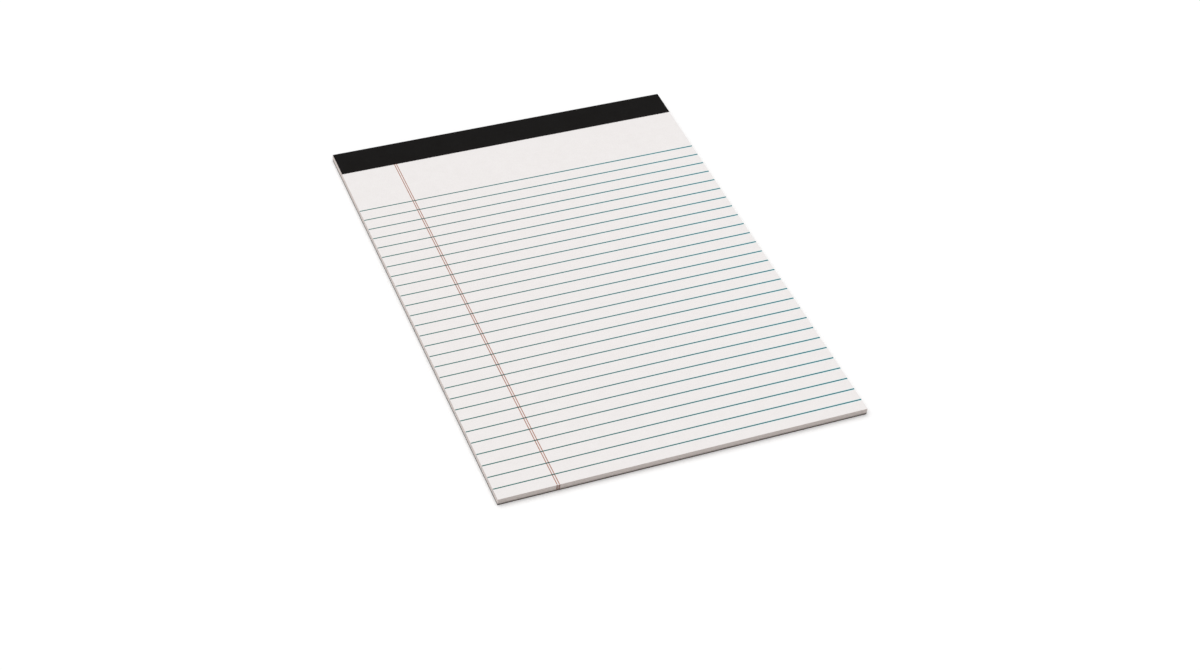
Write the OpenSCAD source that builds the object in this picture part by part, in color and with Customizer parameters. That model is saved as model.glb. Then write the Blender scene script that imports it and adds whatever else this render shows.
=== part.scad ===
// Letter-size legal pad: a block of ruled, perforated sheets on a chipboard back,
// stapled through the stub and bound with a tape folded over the top edge.
// X runs across the page, Y towards the bound edge and Z up from the back of the board.
// The origin is at the middle of the pad's outline, on the surface that the pad lies on.

/* [Sheets] */
// Number of sheets in the block
sheet_count = 50; // [20:1:100]
// Thickness of one sheet
sheet_t = 0.075; // [0.06:0.005:0.12]
// Width of the sheets
sheet_w = 215.9; // [150:0.1:300]
// Length of a page below the tear line
page_l = 279.4; // [180:0.1:360]
// Length of the stub that stays in the binding when a page is torn off
stub_l = 20; // [16:0.05:30]

/* [Perforation] */
// Distance from one cut of the tear line to the next
perf_pitch = 2; // [1.5:0.1:5]
// Length of paper left between two cuts
perf_tie = 0.6; // [0.3:0.05:1]
// Width of a cut
perf_w = 0.1; // [0.06:0.01:0.2]

/* [Backing board] */
// Thickness of the chipboard
board_t = 0.7; // [0.6:0.05:1.5]

/* [Binding tape] */
// Thickness of the tape
tape_t = 0.15; // [0.1:0.01:0.25]
// Bare strip between the front flap and the tear line
tear_gap = 0.2; // [0.2:0.05:2]
// Length of the flap on the back of the board
back_flap_l = 19; // [14:0.1:40]
// Inner radius of the folds at the bound edge
fold_r = 0.4; // [0.1:0.05:1]

/* [Staples] */
// Number of staples along the binding
staple_count = 3; // [1:1:5]
// Distance from a side edge to the middle of the nearest staple
staple_margin = 32; // [15:0.5:45]
// Distance of the staples from the bound edge
staple_inset = 9.5; // [5:0.1:12]
// Width of a staple over its legs
crown_w = 12.7; // [11:0.1:20]
// Diameter of the wire
wire_d = 0.45; // [0.35:0.01:0.55]
// Radius of the bends, at the middle of the wire
bend_r = 0.6; // [0.4:0.05:0.8]
// Length of a leg's clinched end, from the middle of the leg
clinch_l = 4.6; // [2:0.1:5]
// Room left round the wire in the paper and the board
wire_gap = 0.02; // [0.01:0.005:0.05]

/* [Ruling] */
// Distance from one rule to the next
rule_pitch = 8.73; // [5:0.01:12]
// Distance from the tear line to the first rule
head_margin = 36.2; // [10:0.1:60]
// Least distance from the last rule to the foot of the page
foot_margin = 6; // [3:0.1:20]
// Width of a rule
rule_w = 0.7; // [0.2:0.05:0.8]
// Distance from the left edge to the middle of the double margin rule
margin_x = 33.7; // [15:0.1:60]
// Distance between the middles of the two margin lines
margin_pitch = 1.25; // [1:0.05:4]
// Width of a margin line
margin_w = 0.5; // [0.2:0.05:0.8]
// Thickness of the printed ink
ink_t = 0.03; // [0.02:0.005:0.05]

/* [Hidden] */
$fn = 48;
cut = 1; // how far a cutting shape runs past the face that it opens

// Heights: the board lies on the surface, and its back is pressed in where the tape covers it
block_t = sheet_count * sheet_t;
block_top = board_t + block_t;
wire_r = wire_d / 2;
crown_z = block_top - wire_gap - wire_r;
clinch_z = tape_t + wire_gap + wire_r;

// Lengths: the tape's wall on the bound edge counts in the pad's outline
sheet_l = page_l + stub_l;
foot_y = -(sheet_l + tape_t) / 2;
bound_y = foot_y + sheet_l;
tear_y = bound_y - stub_l;
front_edge_y = tear_y + tear_gap;
back_edge_y = bound_y - back_flap_l;
staple_y = bound_y - staple_inset;
back_fold_r = min(fold_r, board_t - tape_t); // the lower fold rounds no more than the board

// Widths: the perforation and the staples are centred on the sheet
left_x = -sheet_w / 2;
right_x = left_x + sheet_w;
perf_count = floor((sheet_w - perf_tie) / perf_pitch);
leg_x = crown_w / 2 - wire_r;
staple_span = staple_count > 1 ? sheet_w - 2 * staple_margin : 0;
staple_pitch = staple_span / max(staple_count - 1, 1);

// Ruling: as many rules as the page holds between its head and foot margins
rule_count = 1 + floor((page_l - head_margin - foot_margin) / rule_pitch);
line_1_x = left_x + margin_x - margin_pitch / 2;
line_2_x = line_1_x + margin_pitch;
rule_runs = [
    [left_x, line_1_x - margin_w / 2],
    [line_1_x + margin_w / 2, line_2_x - margin_w / 2],
    [line_2_x + margin_w / 2, right_x]
];

// Extrudes a profile drawn in Y and Z across the width of the pad
module across_pad() {
    translate([left_x, 0, 0])
        rotate([90, 0, 90])
            linear_extrude(sheet_w)
                children();
}

// Waste outside a fold of radius r at the corner [y, z], above the sheets or below the board
module fold_waste(y, z, r, below = false) {
    translate([y - r, below ? z + r : z - r])
        mirror([0, below ? 1 : 0])
            difference() {
                square(r + cut);
                circle(r);
            }
}

// Section of the sheets, with the upper corner rounded by the tape
module block_profile() {
    difference() {
        translate([foot_y, board_t])
            square([sheet_l, block_t]);
        fold_waste(bound_y, block_top, fold_r);
    }
}

// Section of the board, pressed in by the tape's thickness where the back flap lies
module board_profile() {
    difference() {
        translate([foot_y, 0])
            square([sheet_l, board_t]);
        translate([back_edge_y, -cut])
            square([back_flap_l + cut, tape_t + cut]);
        fold_waste(bound_y, tape_t, back_fold_r, below = true);
    }
}

// Section of the tape: what is left of its outline round the sheets and the board
module tape_profile() {
    wall_y = bound_y + tape_t;
    difference() {
        union() {
            translate([front_edge_y, board_t])
                square([wall_y - front_edge_y, block_t + tape_t]);
            translate([back_edge_y, 0])
                square([wall_y - back_edge_y, board_t]);
        }
        fold_waste(wall_y, block_top + tape_t, fold_r + tape_t);
        fold_waste(wall_y, 0, back_fold_r + tape_t, below = true);
        block_profile();
        board_profile();
    }
}

// One quarter bend of wire about the origin, from +X up to +Z
module wire_bend(r) {
    rotate([90, 0, 0])
        rotate_extrude(angle = 90)
            translate([bend_r, 0])
                circle(r);
}

// One staple about its middle, in wire of radius r, with its tips lengthened by extra
module staple_wire(r, extra = 0) {
    inner_x = leg_x - bend_r;
    tip_x = leg_x - clinch_l - extra;
    translate([-inner_x, 0, crown_z])
        rotate([0, 90, 0])
            cylinder(r = r, h = 2 * inner_x);
    for (side = [0, 1])
        mirror([side, 0, 0]) {
            translate([inner_x, 0, crown_z - bend_r])
                wire_bend(r);
            translate([leg_x, 0, clinch_z + bend_r])
                cylinder(r = r, h = crown_z - clinch_z - 2 * bend_r);
            translate([inner_x, 0, clinch_z + bend_r])
                mirror([0, 0, 1])
                    wire_bend(r);
            translate([tip_x, 0, clinch_z])
                rotate([0, 90, 0])
                    cylinder(r = r, h = inner_x - tip_x);
        }
}

// Space for one staple: its wire with room round it, open to the tape over the crown and the tips
module staple_space() {
    r = wire_r + wire_gap;
    end_x = leg_x + r;
    tip_x = leg_x - clinch_l - wire_gap;
    staple_wire(r, wire_gap);
    translate([-end_x, -r, crown_z])
        cube([2 * end_x, 2 * r, block_top + cut - crown_z]);
    for (side = [0, 1])
        mirror([side, 0, 0])
            translate([tip_x, -r, tape_t - cut])
                cube([end_x - tip_x, 2 * r, clinch_z - tape_t + cut]);
}

// Places its children at each staple
module each_staple() {
    for (i = [0 : staple_count - 1])
        translate([i * staple_pitch - staple_span / 2, staple_y, 0])
            children();
}

// Row of cuts through the whole block along the tear line
module perforation() {
    for (i = [0 : perf_count - 1])
        translate([(i - perf_count / 2) * perf_pitch + perf_tie / 2, tear_y - perf_w / 2, board_t - cut])
            cube([perf_pitch - perf_tie, perf_w, block_t + 2 * cut]);
}

// All the sheets as one solid
module sheet_block() {
    color("whitesmoke")
        difference() {
            across_pad() block_profile();
            perforation();
            each_staple() staple_space();
        }
}

// Chipboard under the sheets
module backing_board() {
    color([0.55, 0.51, 0.47])
        difference() {
            across_pad() board_profile();
            each_staple() staple_space();
        }
}

// Tape folded round the bound edge: front flap, wall on the edge and back flap
module binding_tape() {
    color([0.13, 0.12, 0.12])
        across_pad() tape_profile();
}

// Bent wire staples, with crowns sunk in the sheets and tips clinched in the board
module staples() {
    color("silver")
        each_staple() staple_wire(wire_r);
}

// Blue rules from edge to edge, broken where the margin lines cross them
module ruled_lines() {
    color("cadetblue")
        for (i = [0 : rule_count - 1], run = rule_runs)
            translate([run[0], tear_y - head_margin - i * rule_pitch - rule_w / 2, block_top])
                cube([run[1] - run[0], rule_w, ink_t]);
}

// Two red lines down the page, from the front flap to the foot
module margin_lines() {
    color("salmon")
        for (x = [line_1_x, line_2_x])
            translate([x - margin_w / 2, foot_y, block_top])
                cube([margin_w, front_edge_y - foot_y, ink_t]);
}

sheet_block();
backing_board();
binding_tape();
staples();
ruled_lines();
margin_lines();
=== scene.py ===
import math
import random

import bpy
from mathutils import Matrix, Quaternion, Vector, noise


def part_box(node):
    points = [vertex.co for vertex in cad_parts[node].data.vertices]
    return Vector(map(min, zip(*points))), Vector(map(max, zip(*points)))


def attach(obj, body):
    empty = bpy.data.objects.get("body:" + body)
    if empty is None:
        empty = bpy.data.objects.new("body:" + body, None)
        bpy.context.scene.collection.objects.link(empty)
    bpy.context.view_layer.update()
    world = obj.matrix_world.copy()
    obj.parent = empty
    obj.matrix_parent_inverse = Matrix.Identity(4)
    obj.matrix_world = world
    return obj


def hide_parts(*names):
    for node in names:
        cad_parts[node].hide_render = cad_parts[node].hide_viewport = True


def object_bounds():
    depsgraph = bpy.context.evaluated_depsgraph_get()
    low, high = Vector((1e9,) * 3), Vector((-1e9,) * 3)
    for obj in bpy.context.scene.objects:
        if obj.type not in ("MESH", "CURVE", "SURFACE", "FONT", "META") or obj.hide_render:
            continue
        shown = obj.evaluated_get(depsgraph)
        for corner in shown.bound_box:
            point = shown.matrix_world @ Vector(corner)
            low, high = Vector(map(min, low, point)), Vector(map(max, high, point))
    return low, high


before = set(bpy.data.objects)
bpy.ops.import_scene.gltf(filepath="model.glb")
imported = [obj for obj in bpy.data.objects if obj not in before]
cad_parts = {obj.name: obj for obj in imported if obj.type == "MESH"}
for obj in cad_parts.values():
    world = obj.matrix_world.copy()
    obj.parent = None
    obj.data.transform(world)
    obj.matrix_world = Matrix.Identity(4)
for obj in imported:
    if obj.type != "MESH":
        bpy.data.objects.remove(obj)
cadLow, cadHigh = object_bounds()
mm = 0.001

# where the pad's parts lie, read from the frame
blockLow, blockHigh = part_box("sheet_block")
tapeLow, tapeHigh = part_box("binding_tape")
rulesLow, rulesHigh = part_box("ruled_lines")
marginLow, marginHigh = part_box("margin_lines")
stapleLow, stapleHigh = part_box("staples")
pageWidth = blockHigh.x - blockLow.x
sheetLength = blockHigh.y - blockLow.y
blockMid = (blockLow + blockHigh) / 2
tapeThick = tapeHigh.z - blockHigh.z
tapeEdgeY = marginHigh.y  # the margin lines run up to the tape
stapleY = (stapleLow.y + stapleHigh.y) / 2
print("frame loaded:", ", ".join(sorted(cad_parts)))


# ways of working in the viewport

tolerance = 0.001 * mm  # lengths below this count as none
longEdge = 5 * mm  # longer than any edge in a fold or across a printed line
facing = 0.9  # share of a normal along an axis, for a face that looks that way
sharpFrom = math.radians(35)  # edges with a wider turn than this stay sharp


def deselectAll():
    if bpy.context.mode != "OBJECT":
        bpy.ops.object.mode_set(mode="OBJECT")
    bpy.ops.object.select_all(action="DESELECT")


def addBlock(name, low, high):  # a cube at its size and place, left in edit mode with all selected
    deselectAll()
    low, high = Vector(low), Vector(high)
    bpy.ops.mesh.primitive_cube_add(size=1, location=(low + high) / 2)
    piece = bpy.context.object
    piece.name = piece.data.name = name
    piece.scale = high - low
    bpy.ops.object.transform_apply(location=True, rotation=True, scale=True)
    bpy.ops.object.mode_set(mode="EDIT")
    return piece


def pickFaces(piece, test):  # selects faces in edit mode by their place or normal
    bpy.ops.mesh.select_mode(type="FACE")
    bpy.ops.mesh.select_all(action="DESELECT")
    bpy.ops.object.mode_set(mode="OBJECT")
    for face in piece.data.polygons:
        face.select = test(face)
    bpy.ops.object.mode_set(mode="EDIT")


def pickEdges(piece, test):  # selects edges in edit mode by the places of their two ends
    bpy.ops.mesh.select_mode(type="EDGE")
    bpy.ops.mesh.select_all(action="DESELECT")
    bpy.ops.object.mode_set(mode="OBJECT")
    spots = [v.co.copy() for v in piece.data.vertices]
    for edge in piece.data.edges:
        edge.select = test(spots[edge.vertices[0]], spots[edge.vertices[1]])
    bpy.ops.object.mode_set(mode="EDIT")


def runsAlong(axis, least):  # test for edges that lie along one axis and are long enough
    others = [i for i in range(3) if i != axis]

    def test(a, b):
        straight = all(abs(a[i] - b[i]) < tolerance for i in others)
        return straight and abs(a[axis] - b[axis]) > least

    return test


def extrudeBy(step):
    bpy.ops.mesh.extrude_region_move(TRANSFORM_OT_translate={"value": tuple(step)})


def duplicateBy(step):
    bpy.ops.mesh.duplicate_move(TRANSFORM_OT_translate={"value": tuple(step)})


def closeMesh(piece):  # merged, facing outwards and smooth except at real edges
    bpy.ops.mesh.select_all(action="SELECT")
    bpy.ops.mesh.remove_doubles(threshold=tolerance)
    bpy.ops.mesh.normals_make_consistent(inside=False)
    bpy.ops.object.mode_set(mode="OBJECT")
    bpy.ops.object.shade_smooth_by_angle(angle=sharpFrom)


def applyModifier(piece, kind, **settings):
    deselectAll()
    piece.select_set(True)
    bpy.context.view_layer.objects.active = piece
    modifier = piece.modifiers.new(kind.title(), kind)
    for key, value in settings.items():
        setattr(modifier, key, value)
    bpy.ops.object.modifier_apply(modifier=modifier.name)


# how the top sheets lie

pageLie = {
    "swell": 0.6 * mm,  # how far the top sheet stands off flat, at most
    "fromFoot": 58 * mm,  # place of the swell above the foot
    "reach": 48 * mm,  # how far the swell spreads up and down the page
}


def pageRise(x, y):
    across = (x - blockMid.x) / (pageWidth / 2)
    along = (y - blockLow.y - pageLie["fromFoot"]) / pageLie["reach"]
    return pageLie["swell"] * max(0, 1 - across**2) ** 1.5 * math.exp(-(along**2))


# block of sheets

sheetStack = {
    "sheets": 50,
    "cellsAcross": 36,
    "cellsAlong": 50,
    "edgeShare": 0.7,  # part of a sheet's pitch that is clean cut edge
    "grooveDepth": 0.035 * mm,
    "straggle": 0.07 * mm,  # how far a sheet stands out of line
    "lean": 0.25 * mm,  # how far the top sheet has crept towards the foot
    "fray": 0.012 * mm,  # roughness of the cut edges
    "fraySize": 1.7 * mm,
    "frayStep": 3.1,  # from one sheet to the next, so that no two fray alike
    "foldGap": 0.01 * mm,  # between the sheets and the tape's fold
    "seed": 11,
}
tearLine = {
    "pitch": 2 * mm,
    "tie": 0.6 * mm,  # paper left between two cuts
    "cutWidth": 0.1 * mm,
    "depth": 0.5 * mm,
    "belowTape": 0.2 * mm,
}
foldRadius = 0.4 * mm  # inside the tape's folds


def stackLimit(z):  # how far back a sheet may reach inside the tape's upper fold
    over = max(0, z - (blockHigh.z - foldRadius))
    return blockHigh.y - foldRadius + math.sqrt(max(0, foldRadius**2 - over**2))


def startSheet():  # the foot of the lowest sheet, left in edit mode with all selected
    deselectAll()
    bpy.ops.mesh.primitive_grid_add(
        x_subdivisions=sheetStack["cellsAcross"],
        y_subdivisions=sheetStack["cellsAlong"],
        size=1,
        location=(blockMid.x, blockMid.y, blockLow.z),
    )
    piece = bpy.context.object
    piece.name = piece.data.name = "sheetStack"
    piece.scale = (pageWidth, sheetLength, 1)
    bpy.ops.object.transform_apply(location=True, rotation=True, scale=True)
    bpy.ops.object.mode_set(mode="EDIT")
    bpy.ops.mesh.select_all(action="SELECT")
    return piece


def pileSheets(pitch):  # one sheet on the other, each a little out of line
    stack = sheetStack
    draw = random.Random(stack["seed"])
    edge = pitch * stack["edgeShare"]
    groove = 2 * stack["grooveDepth"]
    shrink = Vector((1 - groove / pageWidth, 1 - groove / sheetLength, 1))
    grow = Vector((1 / shrink.x, 1 / shrink.y, 1))
    place = Vector((0, 0, 0))
    for _ in range(stack["sheets"] - 1):
        extrudeBy((0, 0, edge))  # the sheet's own cut edge
        aside = Vector((draw.uniform(-1, 1), draw.uniform(-1, 1), 0)) * stack["straggle"]
        step = (aside - place) / 2
        step.z = (pitch - edge) / 2
        extrudeBy(step)  # in to the groove
        bpy.ops.transform.resize(value=shrink, center_override=blockMid)
        extrudeBy(step)  # and out to the next sheet
        bpy.ops.transform.resize(value=grow, center_override=blockMid)
        place = aside
    extrudeBy((0, 0, pitch))  # the top sheet


def ageSheets(piece, pitch):  # frays the edges, lets the stack lean and the top sheets swell
    stack = sheetStack
    noise.seed_set(stack["seed"])  # or the fray would follow the clock
    cleanFrom = stack["sheets"] - 1.5  # the top sheet's edge stays clean
    heights = piece.data.attributes.new("stackHeight", "FLOAT", "POINT")  # in sheets, before they swell
    for vertex, height in zip(piece.data.vertices, heights.data):
        co = vertex.co
        height.value = (co.z - blockLow.z) / pitch
        share = height.value / stack["sheets"]
        if height.value < cleanFrom:
            lift = Vector((0, 0, height.value * stack["frayStep"]))
            fray = noise.noise_vector(co / stack["fraySize"] + lift)
            co.x += fray.x * stack["fray"]
            co.y += fray.y * stack["fray"]
        co.y -= stack["lean"] * share**2 * (blockHigh.y - co.y) / sheetLength
        co.y = min(co.y, stackLimit(co.z) - stack["foldGap"])
        co.z += pageRise(co.x, co.y) * share**2


def buildSheets():
    pitch = (blockHigh.z - blockLow.z) / sheetStack["sheets"]
    piece = startSheet()
    pileSheets(pitch)
    closeMesh(piece)
    ageSheets(piece, pitch)
    return piece


stapleLayout = {
    "count": 3,
    "crown": 12.7 * mm,
    "room": 0.02 * mm,  # round the wire
}
firstStaple = stapleLow.x + stapleLayout["crown"] / 2
lastStaple = stapleHigh.x - stapleLayout["crown"] / 2
staplePitch = (lastStaple - firstStaple) / (stapleLayout["count"] - 1)
stapleMiddles = [firstStaple + staplePitch * i for i in range(stapleLayout["count"])]


def cutSheets(piece):  # slits below the tape and slots for the staples' crowns, in one cut
    line = tearLine
    count = int((pageWidth - line["tie"]) / line["pitch"])
    firstX = blockMid.x - (count - 1) / 2 * line["pitch"]
    first = Vector((firstX, tapeEdgeY - line["belowTape"], blockHigh.z))
    half = Vector((line["pitch"] - line["tie"], line["cutWidth"], 2 * line["depth"])) / 2
    cutter = addBlock("tearCutter", first - half, first + half)
    for _ in range(count - 1):
        duplicateBy((line["pitch"], 0, 0))
    slotLength = stapleLayout["crown"] + 2 * stapleLayout["room"]
    slotWidth = stapleHigh.y - stapleLow.y + 2 * stapleLayout["room"]
    for x in stapleMiddles:
        bpy.ops.mesh.primitive_cube_add(
            size=1,
            location=(x, stapleY, blockHigh.z),
            scale=(slotLength, slotWidth, 2 * slotWidth),
        )
    bpy.ops.object.mode_set(mode="OBJECT")
    applyModifier(piece, "BOOLEAN", operation="DIFFERENCE", object=cutter, solver="EXACT")
    bpy.data.objects.remove(cutter)


sheetBlock = buildSheets()
cutSheets(sheetBlock)
print("sheets stacked:", len(sheetBlock.data.polygons), "faces")


# binding tape, folded round the bound edge

tapeStrip = {
    "foldSteps": 8,
    "columns": 160,  # cells across the pad
    "rows": 30,  # cells along each flap
    "stapleRidge": 0.05 * mm,  # how far the staples' crowns press through
    "ridgeSpread": 0.8 * mm,
    "edgeWander": 0.04 * mm,  # how far the front edge strays from straight
    "wanderLength": 23 * mm,
    "wanderReach": 2 * mm,  # how far behind the edge the straying ends
}


def crownPress(x, y):  # 1 over a staple's crown, falling to 0 round it
    fromMiddle = min(abs(x - middle) for middle in stapleMiddles)
    aside = max(0, fromMiddle - stapleLayout["crown"] / 2)
    up = y - stapleY
    return math.exp(-(aside**2 + up**2) / tapeStrip["ridgeSpread"] ** 2)


def foldRound(y, z):  # turns the tape's free end a quarter round the bound edge
    bpy.ops.mesh.spin(
        steps=tapeStrip["foldSteps"],
        angle=math.pi / 2,  # turns it back and down, because spin counts the other way round
        center=(0, y, z),
        axis=(1, 0, 0),
    )


def buildTape():
    strip = tapeStrip
    foldY = blockHigh.y - foldRadius
    upperFoldZ = blockHigh.z - foldRadius
    lowerFoldZ = tapeLow.z + tapeThick + foldRadius
    flapLow = (blockLow.x, tapeEdgeY, blockHigh.z)
    flapHigh = (blockHigh.x, foldY, tapeHigh.z)
    piece = addBlock("bindingTape", flapLow, flapHigh)
    pickFaces(piece, lambda face: face.normal.y > facing)
    foldRound(foldY, upperFoldZ)
    extrudeBy((0, 0, lowerFoldZ - upperFoldZ))  # down the bound edge
    foldRound(foldY, lowerFoldZ)
    extrudeBy((0, tapeLow.y - foldY, 0))  # along the back of the board
    pickEdges(piece, runsAlong(0, pageWidth / 2))
    bpy.ops.mesh.subdivide(number_cuts=strip["columns"] - 1)
    pickEdges(piece, runsAlong(1, longEdge))
    bpy.ops.mesh.subdivide(number_cuts=strip["rows"] - 1)
    closeMesh(piece)
    for vertex in piece.data.vertices:
        co = vertex.co
        if co.z > blockHigh.z - tolerance:  # on the front flap
            co.z += crownPress(co.x, co.y) * strip["stapleRidge"]
            wander = noise.noise(Vector((co.x / strip["wanderLength"], 0, 0)))
            toEdge = max(0, 1 - (co.y - tapeEdgeY) / strip["wanderReach"])
            co.y += wander * toEdge * strip["edgeWander"]
    return piece


bindingTape = buildTape()
print("tape folded:", len(bindingTape.data.polygons), "faces")


# printed ruling

ruling = {
    "rules": 28,
    "ruleWidth": 0.7 * mm,
    "marginWidth": 0.5 * mm,
    "sunk": 0.012 * mm,  # how far the ink reaches into the sheet
    "cellLength": 4.5 * mm,
    "endGap": 0.08 * mm,  # bare paper at the cut edges
    "fade": 1 * mm,  # marks last this far past the first and last rules, and fade over as much
}
inkTop = rulesHigh.z
inkFoot = blockHigh.z - ruling["sunk"]
halfRule = ruling["ruleWidth"] / 2
halfMargin = ruling["marginWidth"] / 2
firstRuleY = rulesHigh.y - halfRule
lastRuleY = rulesLow.y + halfRule
rulePitch = (firstRuleY - lastRuleY) / (ruling["rules"] - 1)
marginMiddles = [marginLow.x + halfMargin, marginHigh.x - halfMargin]


def layOnPage(piece):  # lets flat print follow the swell of the page
    closeMesh(piece)
    for vertex in piece.data.vertices:
        vertex.co.z += pageRise(vertex.co.x, vertex.co.y)
    return piece


def buildRules():
    stops = [blockLow.x + ruling["endGap"]]
    for x in marginMiddles:
        stops += [x - halfMargin, x + halfMargin]
    stops.append(blockHigh.x - ruling["endGap"])
    runs = list(zip(stops[::2], stops[1::2]))  # a rule breaks off where a margin line crosses it
    lowY, highY = firstRuleY - halfRule, firstRuleY + halfRule
    piece = addBlock("ruledLines", (stops[0], lowY, inkFoot), (stops[1], highY, inkTop))
    for left, right in runs[1:]:
        bpy.ops.mesh.primitive_cube_add(
            size=1,
            location=((left + right) / 2, firstRuleY, (inkFoot + inkTop) / 2),
            scale=(right - left, highY - lowY, inkTop - inkFoot),
        )
    runs.sort(key=lambda run: run[0] - run[1])
    for left, right in runs:  # the longest first, so that each pick takes one run
        cuts = int((right - left) / ruling["cellLength"])
        if cuts:
            pickEdges(piece, runsAlong(0, (right - left) / 2))
            bpy.ops.mesh.subdivide(number_cuts=cuts)
    bpy.ops.mesh.select_all(action="SELECT")
    for _ in range(ruling["rules"] - 1):
        duplicateBy((0, -rulePitch, 0))
    return layOnPage(piece)


def buildMargins():
    left, right = marginMiddles
    low = Vector((left - halfMargin, marginLow.y + ruling["endGap"], inkFoot))
    high = Vector((left + halfMargin, marginHigh.y, inkTop))
    piece = addBlock("marginLines", low, high)
    pickEdges(piece, runsAlong(1, longEdge))
    bpy.ops.mesh.subdivide(number_cuts=int((high.y - low.y) / ruling["cellLength"]))
    bpy.ops.mesh.select_all(action="SELECT")
    duplicateBy((right - left, 0, 0))
    return layOnPage(piece)


ruledLines = buildRules()
marginLines = buildMargins()
print("page ruled:", len(ruledLines.data.polygons) + len(marginLines.data.polygons), "faces")


# shader maths on sockets


class Wire:
    def __init__(self, tree, socket):
        self.tree = tree
        self.socket = socket

    def node(self, kind, settings, sockets, out=0):  # any node: settings first, then values or links
        made = self.tree.nodes.new("ShaderNode" + kind)
        for key, value in settings.items():
            setattr(made, key, value)
        for key, value in sockets.items():
            if isinstance(value, Wire):
                self.tree.links.new(value.socket, made.inputs[key])
            else:
                made.inputs[key].default_value = value
        return Wire(self.tree, made.outputs[out])

    def maths(self, operation, *values):
        return self.node("Math", {"operation": operation}, dict(enumerate(values)))

    def __add__(self, other):
        return self.maths("ADD", self, other)

    def __radd__(self, other):
        return self.maths("ADD", other, self)

    def __sub__(self, other):
        return self.maths("SUBTRACT", self, other)

    def __rsub__(self, other):
        return self.maths("SUBTRACT", other, self)

    def __mul__(self, other):
        return self.maths("MULTIPLY", self, other)

    def __rmul__(self, other):
        return self.maths("MULTIPLY", other, self)

    def __truediv__(self, other):
        return self.maths("DIVIDE", self, other)

    def __rtruediv__(self, other):
        return self.maths("DIVIDE", other, self)

    def __abs__(self):
        return self.maths("ABSOLUTE", self)

    def ramp(self, low, high, start=0, end=1):  # start to end as the value goes from low to high
        return self.node("MapRange", {}, {0: self, 1: low, 2: high, 3: start, 4: end})

    def tint(self, first, second):  # from one colour to another by this value
        return self.node("Mix", {"data_type": "RGBA"}, {0: self, 6: first, 7: second}, 2)


def rgb(red, green, blue):
    return (red, green, blue, 1)


class Finish:  # a material with its object coordinates and its shader at hand
    def __init__(self, name):
        self.material = bpy.data.materials.new(name)
        self.material.use_nodes = True
        self.tree = self.material.node_tree
        self.shader = self.tree.nodes["Principled BSDF"]
        self.spot = Wire(self.tree, None).node("TexCoord", {}, {}, "Object")
        axes = (self.spot.node("SeparateXYZ", {}, {0: self.spot}, i) for i in range(3))
        self.x, self.y, self.z = axes

    def grain(self, size, detail, rough=0.5, stretch=(1, 1, 1)):  # noise with features of one size
        place = self.spot.node("Mapping", {}, {"Vector": self.spot, "Scale": stretch})
        sockets = {"Vector": place, "Scale": 1 / size, "Detail": detail, "Roughness": rough}
        return self.spot.node("TexNoise", {}, sockets)

    def feed(self, socket, wire):
        self.tree.links.new(wire.socket, self.shader.inputs[socket])

    def fixed(self, **values):
        for key, value in values.items():
            self.shader.inputs[key.replace("_", " ")].default_value = value

    def bump(self, height, depth, strength):
        sockets = {"Height": height, "Distance": depth, "Strength": strength}
        self.feed("Normal", self.spot.node("Bump", {}, sockets))


# where the print lies, for the finishes


def offRule(along):  # distance from the nearest rule, from the distance below the first one
    turns = along / rulePitch
    return abs(turns - turns.maths("ROUND", turns)) * rulePitch


def inRuling(y):  # 1 from the first rule to the last, 0 past them
    fade = ruling["fade"]
    aboveLast = y.ramp(lastRuleY - 2 * fade, lastRuleY - fade)
    belowFirst = y.ramp(firstRuleY + fade, firstRuleY + 2 * fade, 1, 0)
    return aboveLast * belowFirst


# ink of the ruling

inkLook = {
    "teal": rgb(0.035, 0.16, 0.135),
    "blue": rgb(0.001, 0.1, 0.135),
    "blueThin": rgb(0.012, 0.15, 0.17),
    "red": rgb(0.38, 0.175, 0.12),
    "redThin": rgb(0.48, 0.255, 0.195),
    "crossing": rgb(0.05, 0.06, 0.065),
    "crossingBlur": 0.05 * mm,
    "patchSize": 1.2 * mm,  # of thick and thin ink
    "toothSize": 0.3 * mm,
    "toothDepth": 0.008 * mm,
    "feather": rgb(0.16, 0.72, 0.77),  # ink drawn into the paper beside a rule
    "featherReach": 0.42 * mm,
    "featherFrom": 50 * mm,  # from the left edge, and heavier to the right
    "featherShare": 0.95,
}


def inkFinish(name):  # what both inks share, and where the ink is thin
    look = Finish(name)
    look.bump(look.grain(inkLook["toothSize"], 2), inkLook["toothDepth"], 0.4)
    look.fixed(Roughness=0.85, Specular_IOR_Level=0.25)
    return look, look.grain(inkLook["patchSize"], 4, 0.7)


def blueFinish():
    look, patches = inkFinish("blueInk")
    across = look.x.ramp(blockLow.x, blockHigh.x)  # the press lays the ink on bluer to the right
    ink = across.tint(inkLook["teal"], inkLook["blue"])
    look.feed("Base Color", patches.ramp(0.45, 0.8).tint(ink, inkLook["blueThin"]))
    return look.material


def redFinish():
    look, patches = inkFinish("redInk")
    ink = patches.ramp(0.4, 0.75).tint(inkLook["red"], inkLook["redThin"])
    blur = inkLook["crossingBlur"]
    over = offRule(firstRuleY - look.y).ramp(halfRule - blur, halfRule + blur, 1, 0)
    crossing = over * inRuling(look.y)  # both inks, one on the other
    look.feed("Base Color", crossing.tint(ink, inkLook["crossing"]))
    return look.material


# paper of the page

paperLook = {
    "light": rgb(0.854, 0.825, 0.816),
    "shade": rgb(0.808, 0.774, 0.763),
    "fleck": rgb(0.66, 0.62, 0.59),
    "cloudSize": 6 * mm,
    "fibreSize": 0.35 * mm,
    "fleckSize": 0.22 * mm,
    "toothDepth": 0.02 * mm,
}


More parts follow.
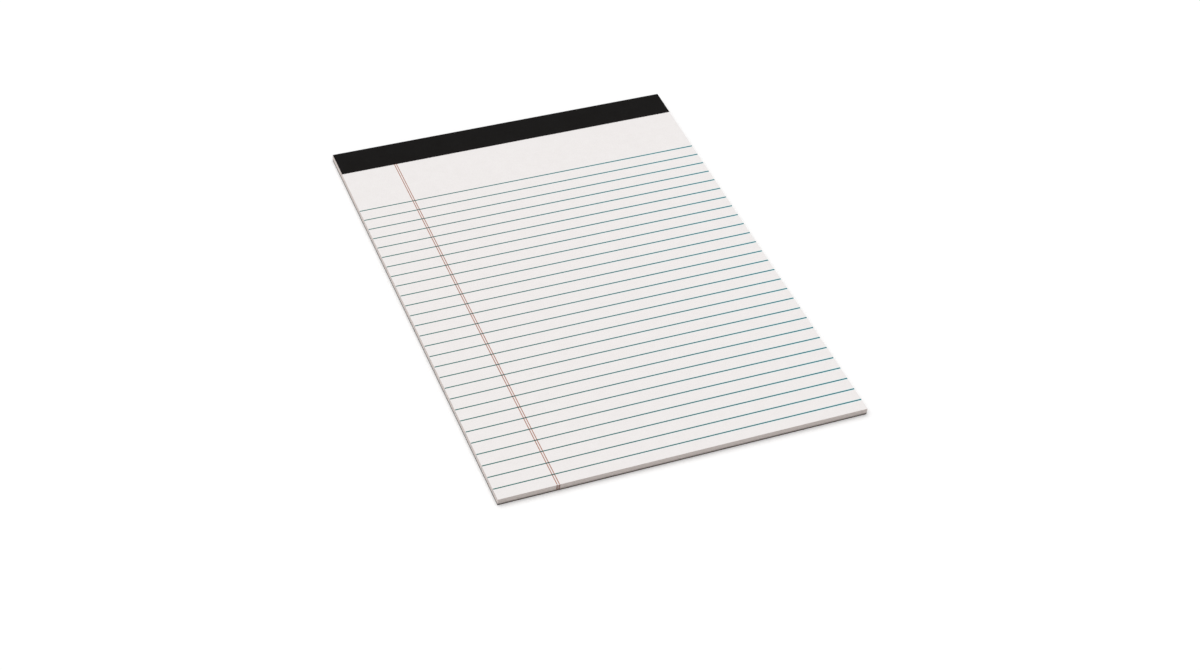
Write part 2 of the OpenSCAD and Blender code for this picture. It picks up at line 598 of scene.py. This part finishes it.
def pageFinish():
    look = Finish("writingPaper")
    clouds = look.grain(paperLook["cloudSize"], 3, 0.6)
    fibres = look.grain(paperLook["fibreSize"], 4, 0.65, (1, 0.45, 1))
    mottle = (clouds * 0.25 + fibres * 0.75).ramp(0.36, 0.62)
    base = mottle.tint(paperLook["shade"], paperLook["light"])
    flecks = look.grain(paperLook["fleckSize"], 1, 0.5, (1, 0.5, 1)).ramp(0.76, 0.82, 0, 0.6)
    base = flecks.tint(base, paperLook["fleck"])
    beside = offRule(firstRuleY - look.y).ramp(halfRule, halfRule + inkLook["featherReach"], 1, 0)
    inked = look.x.ramp(blockLow.x + inkLook["featherFrom"], blockHigh.x, 0, inkLook["featherShare"])
    feather = beside * inRuling(look.y) * inked * fibres.ramp(0.35, 0.65, 0.6, 1)
    look.feed("Base Color", feather.tint(base, inkLook["feather"]))
    look.feed("Roughness", fibres.ramp(0.3, 0.7, 0.86, 0.96))
    look.bump(fibres + clouds * 0.4, paperLook["toothDepth"], 0.7)
    look.fixed(Specular_IOR_Level=0.3)
    return look.material


# cut edges of the sheets

edgeLook = {
    "light": rgb(0.84, 0.775, 0.745),
    "shade": rgb(0.69, 0.625, 0.595),
    "fuzzSize": 0.5 * mm,
    "fuzzDepth": 0.02 * mm,
    "paintedShade": rgb(0.3, 0.255, 0.235),  # painted shade: the edges darken towards the board
    "paintedShadeShare": 0.75,
    "paintedShadeSheets": 16,  # how many sheets up it reaches
    "redBleed": rgb(0.33, 0.17, 0.13),  # ends of the margin lines of every sheet
    "redReach": 0.3 * mm,
    "blueBleed": rgb(0.42, 0.5, 0.53),  # ends of the rules of every sheet
    "blueReach": 0.25 * mm,
    "misprint": 0.5 * mm,  # how far the print wanders from sheet to sheet
    "misprintSeed": 71.3,
    "footReach": 2 * mm,  # what counts as the foot of the block
}


def perSheet(sheet):  # a number from 0 to 1 for each sheet
    return sheet.node("TexWhiteNoise", {"noise_dimensions": "1D"}, {"W": sheet})


def edgeFinish():
    look = Finish("cutSheetEdges")
    height = look.spot.node("Attribute", {"attribute_name": "stackHeight"}, {}, "Fac")
    halfGroove = (1 - sheetStack["edgeShare"]) / 2
    sheet = height.maths("FLOOR", height + halfGroove)  # two sheets share the groove between them
    fuzz = look.grain(edgeLook["fuzzSize"], 3, 0.6)
    tone = (perSheet(sheet) * 0.6 + fuzz * 0.4).ramp(0.1, 0.85)
    base = tone.tint(edgeLook["shade"], edgeLook["light"])
    # painted shade: the lower sheets' edges darken towards the board, in patches
    paintedShade = height.ramp(0, edgeLook["paintedShadeSheets"], edgeLook["paintedShadeShare"], 0)
    base = (paintedShade * fuzz.ramp(0.3, 0.6, 0.7, 1)).tint(base, edgeLook["paintedShade"])
    aside = (perSheet(sheet + edgeLook["misprintSeed"]) - 0.5) * edgeLook["misprint"]
    footY = blockLow.y + edgeLook["footReach"]
    atFoot = look.y.ramp(footY, footY + edgeLook["footReach"] / 2, 1, 0)
    fromLines = [abs(look.x - x + aside) for x in marginMiddles]
    fromLine = aside.maths("MINIMUM", *fromLines)
    red = fromLine.ramp(edgeLook["redReach"], 2 * edgeLook["redReach"], 1, 0) * atFoot
    base = (red * fuzz.ramp(0.3, 0.6, 0.5, 1)).tint(base, edgeLook["redBleed"])
    fromRule = offRule(firstRuleY - look.y + aside)
    blue = fromRule.ramp(edgeLook["blueReach"], 2 * edgeLook["blueReach"], 1, 0)
    blue = blue * inRuling(look.y) * (1 - atFoot)
    base = (blue * fuzz.ramp(0.3, 0.6, 0.25, 0.7)).tint(base, edgeLook["blueBleed"])
    look.feed("Base Color", base)
    look.bump(fuzz, edgeLook["fuzzDepth"], 0.6)
    look.fixed(Roughness=0.95, Specular_IOR_Level=0.2)
    return look.material


# tape

tapeLook = {
    "deep": rgb(0.0022, 0.0018, 0.0016),
    "pale": rgb(0.0056, 0.0048, 0.0044),
    "worn": rgb(0.045, 0.04, 0.037),
    "wearMargin": 0.05 * mm,  # the folds are fully worn from here to the bound edge
    "pebbleSize": 0.42 * mm,
    "fibreSize": 0.25 * mm,
    "scuffSize": 9 * mm,
    "relief": 0.07 * mm,
}


def tapeFinish():
    look = Finish("blackTape")
    sockets = {"Vector": look.spot, "Scale": 1 / tapeLook["pebbleSize"], "Smoothness": 0.6}
    pebbles = look.spot.node("TexVoronoi", {"feature": "SMOOTH_F1"}, sockets)
    fibres = look.grain(tapeLook["fibreSize"], 3, 0.6, (0.4, 1, 1))
    scuffs = look.grain(tapeLook["scuffSize"], 5, 0.65)
    mottle = (fibres * 0.6 + scuffs * 0.4).ramp(0.35, 0.7)
    base = mottle.tint(tapeLook["deep"], tapeLook["pale"])
    middle = (tapeLow.z + tapeHigh.z) / 2
    fromMiddle = abs(look.z - middle) / (tapeHigh.z - middle)
    wearEnd = blockHigh.y - tapeLook["wearMargin"]
    atFold = look.y.ramp(wearEnd - foldRadius, wearEnd) * fromMiddle.ramp(0.78, 0.94)
    worn = atFold * scuffs.ramp(0.42, 0.68) * fibres.ramp(0.4, 0.65, 0, 0.7)
    look.feed("Base Color", worn.tint(base, tapeLook["worn"]))
    look.feed("Roughness", scuffs.ramp(0.3, 0.7, 0.62, 0.78))
    look.bump(pebbles + fibres * 0.4, tapeLook["relief"], 0.8)
    look.fixed(Specular_IOR_Level=0.06)
    return look.material


# board

boardLook = {
    "base": rgb(0.275, 0.238, 0.208),
    "dark": rgb(0.19, 0.16, 0.138),
    "pale": rgb(0.4, 0.36, 0.32),
    "pulpSize": 3 * mm,
    "fleckSize": 0.7 * mm,
    "hairSize": 0.45 * mm,
    "relief": 0.05 * mm,
    "cutEdgeAndShade": rgb(0.07, 0.057, 0.048),  # its sides and foot: partly the cut's own darker tone, partly painted shade
    "cutReach": 0.02 * mm,
    "cutFade": 0.08 * mm,
}


def boardFinish():
    look = Finish("chipboard")
    pulp = look.grain(boardLook["pulpSize"], 5, 0.65)
    flecks = look.grain(boardLook["fleckSize"], 3, 0.6, (1, 0.35, 1))
    hairs = look.grain(boardLook["hairSize"], 2, 0.5, (0.25, 1, 1))
    base = pulp.ramp(0.3, 0.7).tint(boardLook["dark"], boardLook["base"])
    base = flecks.ramp(0.62, 0.7).tint(base, boardLook["pale"])
    base = (hairs.ramp(0.66, 0.72) * 0.7).tint(base, boardLook["dark"])
    fromSide = pageWidth / 2 - abs(look.x)
    fromEdge = fromSide.maths("MINIMUM", fromSide, look.y - blockLow.y)
    cutEnd = boardLook["cutReach"] + boardLook["cutFade"]
    # partly the cut's own darker tone, partly painted shade at the board's sides and foot
    base = fromEdge.ramp(boardLook["cutReach"], cutEnd, 1, 0).tint(base, boardLook["cutEdgeAndShade"])
    look.feed("Base Color", base)
    look.bump(pulp * 0.6 + flecks * 0.4 + hairs * 0.3, boardLook["relief"], 0.5)
    look.fixed(Roughness=0.93, Specular_IOR_Level=0.25)
    return look.material


# wire of the staples

wireLook = {
    "dull": rgb(0.55, 0.56, 0.57),
    "bright": rgb(0.68, 0.69, 0.7),
    "drawSize": 0.12 * mm,
}


def wireFinish():
    look = Finish("stapleWire")
    drawn = look.grain(wireLook["drawSize"], 2, 0.5, (0.05, 1, 1))  # lines along the drawn wire
    look.feed("Base Color", drawn.ramp(0.3, 0.7).tint(wireLook["dull"], wireLook["bright"]))
    look.feed("Roughness", drawn.ramp(0.3, 0.7, 0.25, 0.42))
    look.fixed(Metallic=1)
    return look.material


# finishes on the pieces


def dress(piece, *materials):
    piece.data.materials.clear()
    for material in materials:
        piece.data.materials.append(material)


def dressSheets():
    dress(sheetBlock, pageFinish(), edgeFinish())
    within = 0.02 * mm  # of the block's top or its foot
    for face in sheetBlock.data.polygons:
        onTop = face.normal.z > facing and face.center.z > blockHigh.z - within
        below = face.normal.z < -facing and face.center.z < blockLow.z + within
        face.material_index = 0 if onTop or below else 1


dressSheets()
dress(bindingTape, tapeFinish())
dress(ruledLines, blueFinish())
dress(marginLines, redFinish())
dress(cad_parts["backing_board"], boardFinish())
dress(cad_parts["staples"], wireFinish())
print("finishes on")

for piece, node, slot in (
    (sheetBlock, "sheet_block", "paper"),
    (bindingTape, "binding_tape", "tape"),
    (ruledLines, "ruled_lines", "blue_ink"),
    (marginLines, "margin_lines", "red_ink"),
):
    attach(piece, "root")
    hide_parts(node)


# floor, light and camera

studio = {
    "floorSize": 8,  # metres
    "floorDrop": 0.02 * mm,  # below the board
    "floorSeen": rgb(1, 1, 1),
    "floorLit": rgb(0.8, 0.8, 0.8),
    "skyLight": 0.5,
    "sunLight": 1.75,
    "sunTurn": (math.radians(-8), math.radians(-13), 0),  # from above, the left and a little behind
    "sunSpread": math.radians(70),
}
photoView = {
    "place": (-386.56 * mm, -849.48 * mm, 827.65 * mm),
    "aim": (-11.06 * mm, -49.95 * mm, 4.45 * mm),
    "roll": math.radians(5.11),
    "lens": 64.26,
    "sensor": 36,
    "nearest": 10 * mm,
}


def seenWire(tree):  # 1 for rays that show the background: straight, mirrored or through glass
    blank = Wire(tree, None)
    kinds = ("Is Camera Ray", "Is Glossy Ray", "Is Transmission Ray")
    straight, mirrored, through = (blank.node("LightPath", {}, {}, kind) for kind in kinds)
    return blank.maths("MAXIMUM", straight, blank.maths("MAXIMUM", mirrored, through))


def layFloor():
    deselectAll()
    floorZ = cadLow.z - studio["floorDrop"]
    bpy.ops.mesh.primitive_plane_add(size=studio["floorSize"], location=(0, 0, floorZ))
    floor = bpy.context.object
    floor.name = floor.data.name = "studioFloor"
    look = Finish("floorPaper")
    look.feed("Base Color", seenWire(look.tree).tint(studio["floorLit"], studio["floorSeen"]))
    look.fixed(Roughness=1, Specular_IOR_Level=0)
    dress(floor, look.material)


def lightStudio():
    world = bpy.data.worlds.new("studioSky")
    world.use_nodes = True
    tree = world.node_tree
    sky = tree.nodes["Background"]
    sky.inputs["Color"].default_value = rgb(1, 1, 1)
    strength = seenWire(tree).ramp(0, 1, studio["skyLight"], 1)
    tree.links.new(strength.socket, sky.inputs["Strength"])
    bpy.context.scene.world = world
    deselectAll()
    bpy.ops.object.light_add(type="SUN", location=(0, 0, 1), rotation=studio["sunTurn"])
    sun = bpy.context.object
    sun.name = sun.data.name = "softKey"
    sun.data.energy = studio["sunLight"]
    sun.data.angle = studio["sunSpread"]


def setCamera():
    deselectAll()
    bpy.ops.object.camera_add(location=photoView["place"])
    camera = bpy.context.object
    camera.name = camera.data.name = "photoCamera"
    look = (Vector(photoView["aim"]) - camera.location).to_track_quat("-Z", "Y")
    camera.rotation_euler = (look @ Quaternion((0, 0, 1), photoView["roll"])).to_euler()
    camera.data.lens = photoView["lens"]
    camera.data.sensor_fit = "HORIZONTAL"
    camera.data.sensor_width = photoView["sensor"]
    camera.data.clip_start = photoView["nearest"]
    bpy.context.scene.camera = camera


layFloor()
lightStudio()
setCamera()
bpy.context.scene.view_settings.view_transform = "Standard"
print("studio set")
